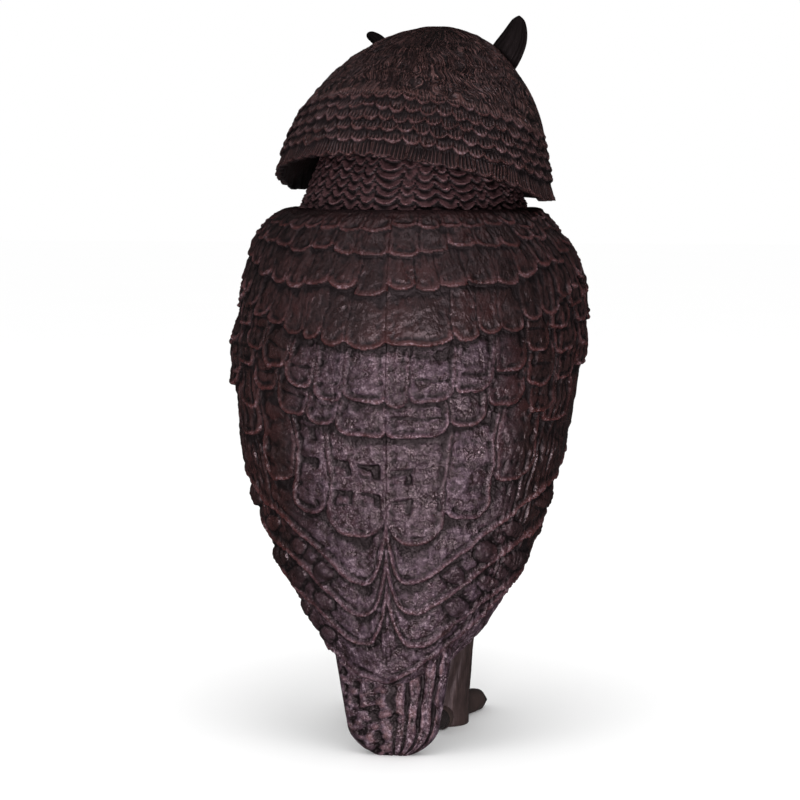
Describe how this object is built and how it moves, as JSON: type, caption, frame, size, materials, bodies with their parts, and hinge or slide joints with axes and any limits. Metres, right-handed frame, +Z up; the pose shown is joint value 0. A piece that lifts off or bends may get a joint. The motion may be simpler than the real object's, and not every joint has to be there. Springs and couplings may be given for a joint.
{
  "type": "owl decoy",
  "caption": "Standing horned owl decoy in moulded dark brown plastic, with feathered body, tail and legs, and a hollow head that turns freely on a peg at the neck.",
  "frame": {"origin": "middle of the whole owl's footprint, on the ground that it stands on", "axes": "+Z up, +Y the way the owl's body faces, so its back and tail face -Y, +X the owl's right side; the picture looks along +Y from 8.5 degrees round towards +X and 6.2 degrees up"},
  "size_m": [0.2249, 0.2086, 0.4528],
  "materials": {
    "body_plastic": "satin dark brown, raised feather rims brushed with maroon, pink grey sheen on the lower back",
    "head_plastic": "satin dark brown, feather rims brushed with maroon, ears almost black, painted amber eyes"
  },
  "bodies": {
    "body": {"body": "body_plastic"},
    "head": {"head": "head_plastic"}
  },
  "joints": [
    {"name": "head_turn", "type": "hinge", "parent": "body", "child": "head", "pos_m": [0, 0.011, 0.4], "axis": [0, 0, 1], "continuous": true}
  ]
}
